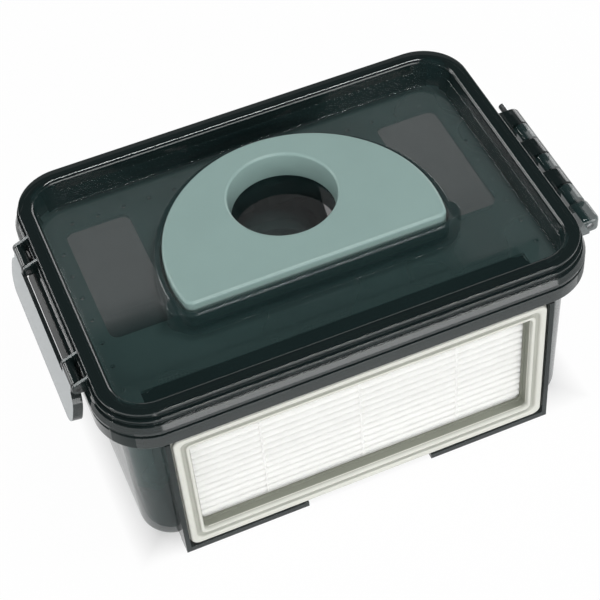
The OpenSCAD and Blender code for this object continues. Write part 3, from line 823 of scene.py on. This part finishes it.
class FILTERBOX_OT_lid(bpy.types.Operator):
    """Builds the smoky lid with its stepped rim, panel, collar, hooks and ears"""

    bl_idname = "filterbox.lid"
    bl_label = "Lid"

    def execute(self, context):
        s = context.scene.filter_box_sizes
        foot, top, panel = mm(s.lid_z), mm(s.lid_top), mm(s.panel_z)
        section = fillet([
            (16, panel, 0), (14.5, panel, 2.4), (12.83, top - 7.4, 0.2),
            (12.45, top - 7.1, 0.2), (11.3, top, 3.0), (3.2, top, 1.2),
            (3.2, top - 1.4, 0.2), (4.1, top - 1.7, 0.1), (4.1, top - 3.8, 0.2),
            (1.9, top - 4.2, 0.6), (1.9, top - 5.1, 0.2), (2.8, top - 5.4, 0.1),
            (2.8, top - 7.8, 0.2), (1.4, top - 8.3, 0.3), (0, foot + 1.9, 0.8),
            (0, foot, 0.5), (2, foot, 0.4), (2, foot + 2.1, 0.2),
            (3.6, foot + 2.1, 0.4), (3.6, foot + 6.4, 0.2), (5.2, foot + 6.4, 0.4),
            (5.2, foot + 10.6, 0.3), (8.8, foot + 10.6, 0.6),
            (9.4, foot + 7.4, 1.0), (13, panel - 2.4, 1.0), (16, panel - 2.4, 0),
        ], closed=False)
        path = rounded_path(s.rim_w, s.rim_d, s.rim_r)
        lid = sweep("lid", section, path, closed=False)
        parts = [self.collar(s)]
        parts += [self.hook(s, k) for k in (0, 2, 4)]
        parts += [self.ear(s, p, q) for p in (-1, 1) for q in (-1, 1)]
        lid = combined(lid, parts, "UNION")
        tube_r = (mm(s.port_r) + 2.5) * MM
        seat = places(circle_path(s.pad_x, s.port_y, tube_r, 96))
        cuts = [prism("seat", seat, (panel - 6) * MM, (panel + 2) * MM)]
        cuts.append(rod("bore", s.pin_x, s.pin_z, LID_BORE, *BORE_ENDS))
        lid = combined(lid, cuts, "DIFFERENCE")
        latch_x, upward, sideways = 2 * MM - s.rim_w / 2, 0.8, 0.1
        channel_z, outer, inner = (foot + 10.8) * MM, 4.5 * MM, 13.5 * MM
        rim_in, panel_top = s.panel_in - 2.2 * MM, s.panel_z + 0.2 * MM

        def finish(face):
            """Thick at the rim, thinner at the collar, thinnest at the panel, with the
            thinner finish painted on the ears' tops as a highlight.
            """
            x, y, z = face.center
            # Painted highlight: only the upward tops of the ears on the latch side get
            # the lighter lug finish
            if x < latch_x and face.normal.z > upward:
                return "smoky_lug"
            inset = inset_of(s, x, y)
            channel = outer < inset < inner and z < channel_z
            if channel and face.normal.z < sideways:
                return "smoky_inside"
            if inset < rim_in:
                return "smoky_rim"
            raised = z > panel_top and self.near_pad(s, x, y)
            return "smoky_lug" if raised else "smoky_panel"

        piece("lid_shell", lid, "lid", "smoky_clear", ["lid"], choose=finish)
        return {"FINISHED"}

    def near_pad(self, s, x, y):
        """Whether a place is on the collar or its lugs."""
        wide, deep = s.pad_r + 15 * MM, 70 * MM
        return abs(x - s.pad_x) < wide and abs(y) < deep

    def collar(self, s):
        """The wall round the inlet pad, with a round lug at each end."""
        foot = s.panel_z / MM - 0.5
        top = s.panel_z / MM + s.collar_h / MM
        gap = -1.5
        ring = fillet([
            (gap, foot, 0), (gap, top, 0.7), (-4.3, top, 1.0),
            (-5.2, foot + 2.5, 2.0), (-6.6, foot, 0),
        ])
        collar = sweep("collar", ring, pad_path(s))
        # The last place only gives the lug's top its direction
        side_view = [(0.0, foot, 0), (0.7, top, 1.2), (6.9, top, 0)]
        side_view = fillet(side_view, closed=False)[:-1]
        chord = math.sqrt(s.pad_r**2 - s.pad_cut**2)
        lugs = []
        for side in (-1, 1):
            x = s.pad_x + side * (chord + 3.2 * MM)
            path = circle_path(x, s.pad_y - s.pad_cut + 6 * MM, 7 * MM, 40)
            lugs.append(sweep("lug", side_view, path, closed=False))
        collar = combined(collar, lugs, "UNION")
        above = (mm(s.lid_top) + 3) * MM
        ends = [(gap * MM, foot * MM - 1 * MM), (gap * MM, above)]
        room = sweep("room", ends, pad_path(s), closed=False)
        return combined(collar, [room], "DIFFERENCE")

    def hook(self, s, k):
        """One hook of the lid that clips over the hinge pin."""
        x, z, r = s.pin_x / MM, s.pin_z / MM, s.knuckle_r / MM
        foot = mm(s.lid_z) + 0.4
        start = 180 - math.degrees(math.asin((foot - z) / r))
        outline = [(LID_ROOT, foot)] + places(arc(x, z, r, start, 450, 40))
        outline.append((LID_ROOT, z + r))
        low, high = knuckle_span(s, k)
        corner = ((x - 1.4) * MM, low - 1 * MM, (z - 12) * MM)
        mouth = block("mouth", corner, ((x + 1.4) * MM, high + 1 * MM, z * MM))
        made = lug("hook", outline, low, high, 0.5 * MM)
        return combined(made, [mouth], "DIFFERENCE")

    def ear(self, s, pair, side):
        """One ear that carries a pin of the latch."""
        x, z, r = s.latch_x / MM, s.latch_z / MM, 3.0
        outline = places(arc(x, z, r, 118.7, 270, 20))
        outline += [(-126.9, z - r), (-126.9, 111.6), (-126.0, 112.6)]
        outline += [(-125.8, 116.2), (-126.6, 116.2)]
        middle = s.latch_y + pair * s.ear_pitch / 2 + side * (s.ear_pair - s.ear_t) / 2
        half = s.ear_t / 2
        return lug("ear", outline, middle - half, middle + half, 0.35 * MM)


class FILTERBOX_OT_gasket(bpy.types.Operator):
    """Builds the black gasket in the lid's channel"""

    bl_idname = "filterbox.gasket"
    bl_label = "Lid gasket"

    def execute(self, context):
        s = context.scene.filter_box_sizes
        low, high = mm(s.lid_z) + 5.7, mm(s.lid_z) + 10.5
        section = fillet(
            [(5.25, low, 0.5), (8.75, low, 0.5), (8.75, high, 0.4), (5.25, high, 0.4)]
        )
        ring = sweep("gasket", section, rounded_path(s.rim_w, s.rim_d, s.rim_r))
        piece("gasket_ring", ring, "lid", "black_rubber", ["lid_gasket"])
        return {"FINISHED"}


class FILTERBOX_OT_pad(bpy.types.Operator):
    """Builds the soft half-moon inlet pad with its port"""

    bl_idname = "filterbox.pad"
    bl_label = "Inlet pad"

    def execute(self, context):
        s = context.scene.filter_box_sizes
        top = (s.panel_z + s.pad_h) / MM
        low = s.panel_z / MM
        outside = fillet(
            [(0.8, low, 0), (0, low, 0.6), (0, top, 2.6), (3.2, top, 0)], closed=False
        )
        port = mm(s.port_r)
        bore = fillet([
            (port + 4, top, 0), (port + 1.1, top, 2.4), (port, low + 1.6, 0.3),
            (port + 6.5, low + 1.6, 0.2), (port + 6.5, low, 0),
        ], closed=False, steps=7)
        path = pad_path(s)
        verts = []
        for px, py, nx, ny in path:
            toward = Vector((px - s.pad_x, py - s.port_y)).normalized()
            verts += [(px - i * nx, py - i * ny, h) for i, h in outside]
            verts += [
                (s.pad_x + toward.x * r, s.port_y + toward.y * r, h) for r, h in bore
            ]
        faces = loft_faces(len(outside) + len(bore), len(path))
        pad = mesh_from("pad", verts, faces)
        piece("pad_body", pad, "lid", "pad_rubber", ["inlet_seal"], 50)
        return {"FINISHED"}


class FILTERBOX_OT_flap(bpy.types.Operator):
    """Builds the clear latch flap"""

    bl_idname = "filterbox.flap"
    bl_label = "Latch flap"

    def execute(self, context):
        mesh = bevelled(copy_of("latch_flap"), 0.45 * MM, 3)
        lean = math.radians(11.3)
        outward = Vector((-math.cos(lean), 0.0, math.sin(lean)))

        def finish(face):
            """A painted reflection, pale, on the broad outer face; dark on every other.
            """
            broad = face.normal.dot(outward) >= 0.99
            return "clear_flap" if broad else "smoky_rim"

        nodes = ["latch_flap"]
        piece("flap_plate", mesh, "flap", "clear_flap", nodes, choose=finish)
        return {"FINISHED"}


class FILTERBOX_OT_cassette(bpy.types.Operator):
    """Builds the cassette's frame, face seal and pleated paper"""

    bl_idname = "filterbox.cassette"
    bl_label = "Cassette"

    def execute(self, context):
        s = context.scene.filter_box_sizes
        middle = (s.cassette_z0 + s.cassette_z1) / 2
        outside = (s.cassette_w, s.cassette_z1 - s.cassette_z0, 4.5 * MM)

        def facing(x, z, h):
            """Stands a plan up at the cassette's front."""
            return (s.bay_x + x, h, middle + z)

        front = mm(s.front_y)
        body = fillet([
            (0, front + 2.1, 0.7), (8.8, front + 2.1, 0.5), (8.9, front + 6.2, 0.3),
            (9.7, front + 6.4, 0.2), (9.7, front + 7.9, 0.2), (7, front + 7.9, 0.2),
            (7, front + 4.6, 0.2), (2.5, front + 4.6, 0.2),
            (2.5, front + 29.5, 0.3), (0, front + 29.5, 0.5),
        ], steps=3)
        border = 8.8 * MM
        slope_y = s.front_y + border
        inner_x = s.cassette_w / 2 - border
        inner_z = (s.cassette_z1 - s.cassette_z0) / 2 - border

        def finish(face):
            """The soft seal's finish, with its painted shade, on the slope down to the
            pleats.
            """
            x, y, z = face.center
            near = abs(x - s.bay_x) < inner_x and abs(z - middle) < inner_z
            return "seal_white" if near and y < slope_y else "frame_white"

        mesh = softened("cassette", body, *outside, facing)
        nodes = ["cassette_frame"]
        piece("cassette_body", mesh, "cassette", "frame_white", nodes, choose=finish)
        # The lips' grooves get the seal's painted shade
        lips = fillet([
            (0.5, front + 2.2, 0), (0.5, front + 0.9, 0.4), (1.0, front, 1.4),
            (3.7, front, 1.5), (4.6, front + 1.9, 1.0), (6.4, front + 1.9, 0.8),
            (6.7, front + 0.3, 0.7), (8.1, front + 0.3, 0.7), (8.7, front + 2.2, 0),
        ], steps=6)
        mesh = softened("lips", lips, *outside, facing)
        nodes = ["cassette_front_seal"]
        piece("cassette_lips", mesh, "cassette", "seal_white", nodes, 60)
        self.pleats(s)
        return {"FINISHED"}

    def pleats(self, s):
        """Folds the paper up and down, with broad round folds at the front."""
        wall = 2.8
        low = s.cassette_z0 / MM + wall
        high = s.cassette_z1 / MM - wall
        pitch = (high - low) / s.pleats
        front, back = s.media_y / MM + 0.3, s.media_back / MM - 0.35
        broad, tight = 1.5, 0.4
        zigzag = [(front, low, 0)]
        for k in range(s.pleats):
            start = low + k * pitch
            if k:
                ends = (start - 0.4 * pitch, start + 0.4 * pitch)
                zigzag += [(front, end, broad) for end in ends]
            zigzag.append((back, start + 0.5 * pitch, tight))
        zigzag.append((front, high, 0))
        line = fillet(zigzag, closed=False, steps=7)
        half = 0.22 * MM
        sides = []
        for k, here in enumerate(line):
            before = Vector(line[max(k - 1, 0)])
            after = Vector(line[min(k + 1, len(line) - 1)])
            across = (after - before).normalized().orthogonal()
            sides.append((Vector(here) + across * half, Vector(here) - across * half))
        outline = [tuple(a) for a, _ in sides] + [tuple(b) for _, b in reversed(sides)]
        reach = s.cassette_w / 2 - 2.7 * MM

        def across_x(y, z, h):
            """Lays the folds along X."""
            return (s.bay_x + h, y, z)

        sheet = prism("pleats", outline, -reach, reach, across_x)
        nodes = ["cassette_media"]
        piece("pleated_sheet", sheet, "cassette", "pleated_paper", nodes, 60)
        self.glue(s, low, pitch)

    def glue(self, s, low, pitch):
        """Runs threads of glue up the pleats, with a small blob on each fold."""
        thin, thick, flatness = 0.58, 1.1, 0.8
        depth, dip = 0.35, 0.55
        sides, steps = 10, 6
        ways = [
            (k + j / steps) * 0.5
            for k in range(2, 2 * s.pleats - 1)
            for j in range(steps)
        ]
        verts, faces = [], []
        for place in (-s.glue_pitch, 0.0, s.glue_pitch):
            first = len(verts)
            for way in ways:
                swell = (0.5 + 0.5 * math.cos(2 * math.pi * way)) ** 2
                r = thin + (thick - thin) * swell
                x = s.bay_x + place
                y = s.media_y / MM + depth + dip * (1 - swell)
                z = (low + way * pitch) * MM
                for j in range(sides):
                    turn = 2 * math.pi * j / sides
                    across, out = r * math.cos(turn), r * flatness * math.sin(turn)
                    verts.append((x + across * MM, (y + out) * MM, z))
            faces += loft_faces(sides, len(ways), around=False, first=first)
            for end in (first, len(verts) - sides):
                faces.append(tuple(range(end, end + sides)))
        threads = mesh_from("glue", verts, faces)
        piece("glue_lines", threads, "cassette", "glue_white", ["glue_beads"], 80)


class FILTERBOX_OT_small_parts(bpy.types.Operator):
    """Dresses the holder, insert, screens, inlet, pins and the rest of the cassette"""

    bl_idname = "filterbox.small_parts"
    bl_label = "Other parts"

    def execute(self, context):
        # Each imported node, its piece, body and slot, and how far its edges are rounded
        rounded = (
            ("filter_holder", "holder_frame", "box", "smoky_dark", 0.4),
            ("separator_insert", "insert_tray", "box", "smoky_insert", 0.12),
            ("inlet_ring_seal", "inlet_ring", "box", "black_rubber", 0.4),
            ("tube_lock_ring", "lock_ring", "lid", "smoky_dark", 0.3),
            ("hinge_pin", "hinge_rod", "box", "pin_steel", 0.4),
            ("latch_pins", "latch_rods", "lid", "pin_steel", 0.3),
            ("cassette_rear_grid", "cassette_ribs", "cassette", "frame_white", 0.3),
            ("cassette_rear_seal", "rear_strip", "cassette", "grey_foam", 0.3),
        )
        for node, name, body, slot, width in rounded:
            piece(name, bevelled(copy_of(node), width * MM), body, slot, [node])

        def finish(face):
            """Smoky like the lid's lugs, all over."""
            return "smoky_lug"

        for node, name, body in (
            ("inlet_deflector", "deflector_plate", "box"),
            ("inlet_tube", "inlet_sleeve", "lid"),
        ):
            mesh = bevelled(copy_of(node), 0.3 * MM)
            piece(name, mesh, body, "smoky_insert", [node], choose=finish)
        dress("window_screens", "screen_mesh")
        return {"FINISHED"}


class FILTERBOX_OT_stage(bpy.types.Operator):
    """Makes the floor, the light and the camera"""

    bl_idname = "filterbox.stage"
    bl_label = "Stage"

    def execute(self, context):
        scene = context.scene
        self.floor(scene.filter_box_colours)
        self.world(scene)
        for lamp in LAMPS:
            self.lamp(*lamp)
        self.camera(scene)
        scene.view_settings.view_transform = "Standard"
        return {"FINISHED"}

    def floor(self, colours):
        """A wide pale floor, bright as a backdrop but with the box's shadow."""
        half, level = 12.0, -0.3 * MM
        mesh = bpy.data.meshes.new("floor")
        corners = [(-half, -half), (half, -half), (half, half), (-half, half)]
        mesh.from_pydata([(x, y, level) for x, y in corners], [], [(0, 1, 2, 3)])
        finish = Finish("floor")
        matt = finish.add(
            "ShaderNodeBsdfDiffuse",
            {},
            {"Color": finish.tint(colours.floor, finish.noise(2.0, 2.0), 0.01)},
        )
        glow = finish.add("ShaderNodeEmission", {}, {"Strength": 1.0})
        seen = [
            finish.add("ShaderNodeLightPath", output=ray)
            for ray in ("Is Camera Ray", "Is Glossy Ray", "Is Transmission Ray")
        ]
        x, y = (finish.axis(k) for k in (0, 1))
        shadow_x, shadow_y, fade, most = 100 * MM, 60 * MM, 30 * MM, 0.975
        beside, behind = abs(x) - shadow_x, abs(y) - shadow_y
        away = (beside.larger(behind) / fade).clamped()
        backdrop = (seen[0] + seen[1] + seen[2]).clamped() * away * most
        both = finish.add("ShaderNodeMixShader", {}, {0: backdrop, 1: matt, 2: glow})
        mesh.materials.append(finish.ended(both))
        linked("floor", mesh)

    def world(self, scene):
        """A room that is white at the horizon and dimmer overhead."""
        world = bpy.data.worlds.new("studio")
        world.use_nodes = True
        tree = world.node_tree
        way = tree.nodes.new("ShaderNodeTexCoord")
        split = tree.nodes.new("ShaderNodeSeparateXYZ")
        tree.links.new(way.outputs["Generated"], split.inputs[0])
        height = Value(tree, split.outputs["Z"])
        horizon, fade, dimming = 0.08, 0.40, 0.94
        strength = 1.0 - ((height - horizon) / fade).clamped() * dimming
        sky = tree.nodes["Background"].inputs
        tree.links.new(strength.socket, sky["Strength"])
        sky["Color"].default_value = (1.0, 1.0, 1.0, 1.0)
        scene.world = world

    def lamp(self, name, place, size, power, aim_x):
        """A soft lamp that looks at the box."""
        data = bpy.data.lights.new(name, "AREA")
        data.shape = "RECTANGLE"
        data.size, data.size_y = size
        data.energy = power
        lamp = linked(name, data)
        aim = Vector((aim_x, 0.0, LAMP_AIM)) - Vector(place)
        turn = aim.to_track_quat("-Z", "Y").to_matrix()
        lamp.matrix_world = Matrix.Translation(place) @ turn.to_4x4()

    def camera(self, scene):
        """The camera, above the front left corner and turned a little on its side."""
        data = bpy.data.cameras.new("camera")
        data.lens = CAMERA_LENS
        data.sensor_width = 36.0
        data.clip_start = 0.01
        data.clip_end = 100.0
        camera = linked("camera", data)
        azimuth, height, roll = (math.radians(a) for a in CAMERA_TURNS)
        right = Vector((math.cos(azimuth), math.sin(azimuth), 0.0))
        away = Vector((math.sin(azimuth), -math.cos(azimuth), 0.0))
        back = away * math.cos(height) + Vector((0.0, 0.0, math.sin(height)))
        up = back.cross(right)
        tilted_right = right * math.cos(roll) + up * math.sin(roll)
        tilted_up = up * math.cos(roll) - right * math.sin(roll)
        turn = Matrix((tilted_right, tilted_up, back)).transposed()
        camera.matrix_world = Matrix.Translation(CAMERA_PLACE) @ turn.to_4x4()
        scene.camera = camera


class FILTERBOX_PT_panel(bpy.types.Panel):
    """The filter box's sizes, colours and building steps"""

    bl_idname = "FILTERBOX_PT_panel"
    bl_label = "Filter box"
    bl_space_type = "VIEW_3D"
    bl_region_type = "UI"
    bl_category = "Filter box"

    def draw(self, context):
        for step in STEPS:
            self.layout.operator(step.bl_idname)
        scene = context.scene
        for group in (scene.filter_box_sizes, scene.filter_box_colours):
            box = self.layout.box()
            for name in group.__annotations__:
                box.prop(group, name)


STEPS = (
    FILTERBOX_OT_materials,
    FILTERBOX_OT_tub,
    FILTERBOX_OT_lid,
    FILTERBOX_OT_gasket,
    FILTERBOX_OT_pad,
    FILTERBOX_OT_flap,
    FILTERBOX_OT_cassette,
    FILTERBOX_OT_small_parts,
    FILTERBOX_OT_stage,
)
CLASSES = (FilterBoxSizes, FilterBoxColours, *STEPS, FILTERBOX_PT_panel)


def register():
    """Adds the classes and the scene's settings."""
    for each in CLASSES:
        bpy.utils.register_class(each)
    bpy.types.Scene.filter_box_sizes = PointerProperty(type=FilterBoxSizes)
    bpy.types.Scene.filter_box_colours = PointerProperty(type=FilterBoxColours)


def unregister():
    """Takes them away again."""
    del bpy.types.Scene.filter_box_colours
    del bpy.types.Scene.filter_box_sizes
    for each in reversed(CLASSES):
        bpy.utils.unregister_class(each)


def main():
    """Builds everything."""
    register()
    bpy.ops.filterbox.materials()
    bpy.ops.filterbox.tub()
    bpy.ops.filterbox.lid()
    bpy.ops.filterbox.gasket()
    bpy.ops.filterbox.pad()
    bpy.ops.filterbox.flap()
    bpy.ops.filterbox.cassette()
    bpy.ops.filterbox.small_parts()
    bpy.ops.filterbox.stage()


if __name__ == "__main__":
    main()
